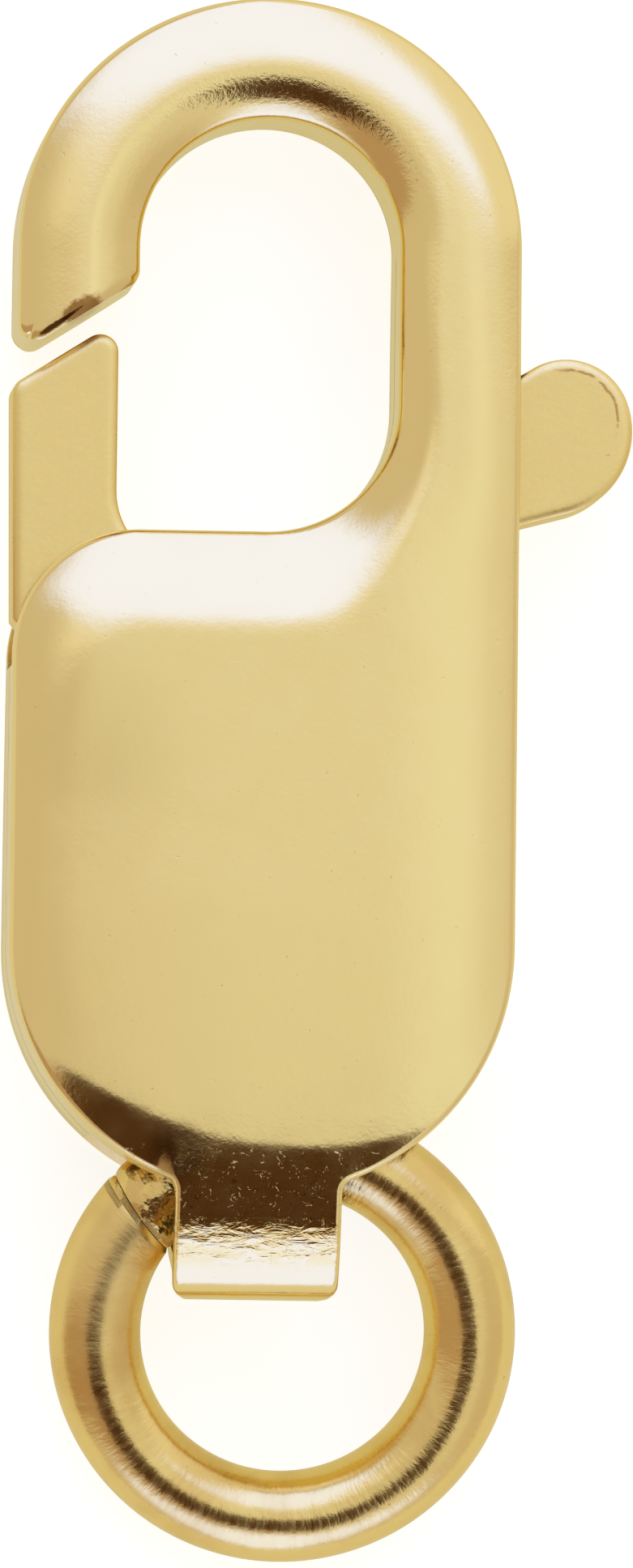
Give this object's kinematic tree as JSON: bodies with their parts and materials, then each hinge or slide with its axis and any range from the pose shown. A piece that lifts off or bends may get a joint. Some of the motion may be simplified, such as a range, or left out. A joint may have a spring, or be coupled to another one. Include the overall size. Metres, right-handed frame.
{
  "type": "lobster clasp",
  "caption": "Gold lobster clasp for a bracelet or necklace: a folded sheet case with a hook, a sprung thumb lever that closes it, and a jump ring in the end loop.",
  "frame": {"origin": "on the flat back face, under the centre of the case's lower round", "axes": "+Z out of the back face towards the front, +Y along the clasp towards the hook, +X towards the thumb tab"},
  "size_m": [0.0054, 0.0139, 0.0024],
  "materials": {
    "case_gold": "polished yellow gold",
    "lever_gold": "satin yellow gold",
    "ring_gold": "polished yellow gold wire"
  },
  "bodies": {
    "case": {"folded_case": "case_gold", "pivot_pin": "lever_gold"},
    "lever": {"gate_lever": "lever_gold"},
    "ring": {"jump_ring": "ring_gold"}
  },
  "joints": [
    {"name": "gate_open", "type": "hinge", "parent": "case", "child": "lever", "pos_m": [-0.00142, 0.00258, 0.00099], "axis": [0, -0.0454, -0.999], "range_deg": [0, 18], "stiffness_Nm_per_rad": 0.008, "springref_deg": -17.19},
    {"name": "ring_swing", "type": "hinge", "parent": "case", "child": "ring", "pos_m": [0.00031, -0.002, 0.0011], "axis": [-1, 0, 0], "range_deg": [0, 55]}
  ]
}
